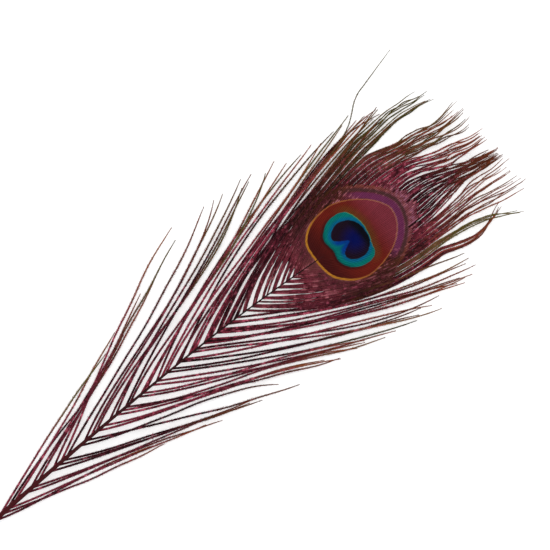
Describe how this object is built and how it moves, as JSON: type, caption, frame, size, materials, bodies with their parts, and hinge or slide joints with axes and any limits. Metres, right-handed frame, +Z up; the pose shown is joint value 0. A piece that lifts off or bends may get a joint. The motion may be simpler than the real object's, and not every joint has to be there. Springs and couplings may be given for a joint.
{
  "type": "peacock feather",
  "caption": "Peacock tail feather dyed wine red, lying flat with its blue and teal eye up: a thin shaft, loose barbs along both edges and a tufted fan of barbs past the eye.",
  "frame": {"origin": "on the surface that the feather lies on, under the middle of its box", "axes": "+Y along the shaft to the tip of the feather, +X to the right-hand vane, +Z up out of the coloured face"},
  "size_m": [0.1008, 0.3054, 0.0068],
  "materials": {
    "barbs": "wine-red dyed keratin barbs with a fine barbule fringe, satin",
    "eye": "close-set barbs coloured in rings of gold, red-brown, teal, blue and near-black, iridescent",
    "shaft": "dark red dyed keratin, satin"
  },
  "bodies": {
    "root": {"feather": "barbs"}
  },
  "joints": []
}
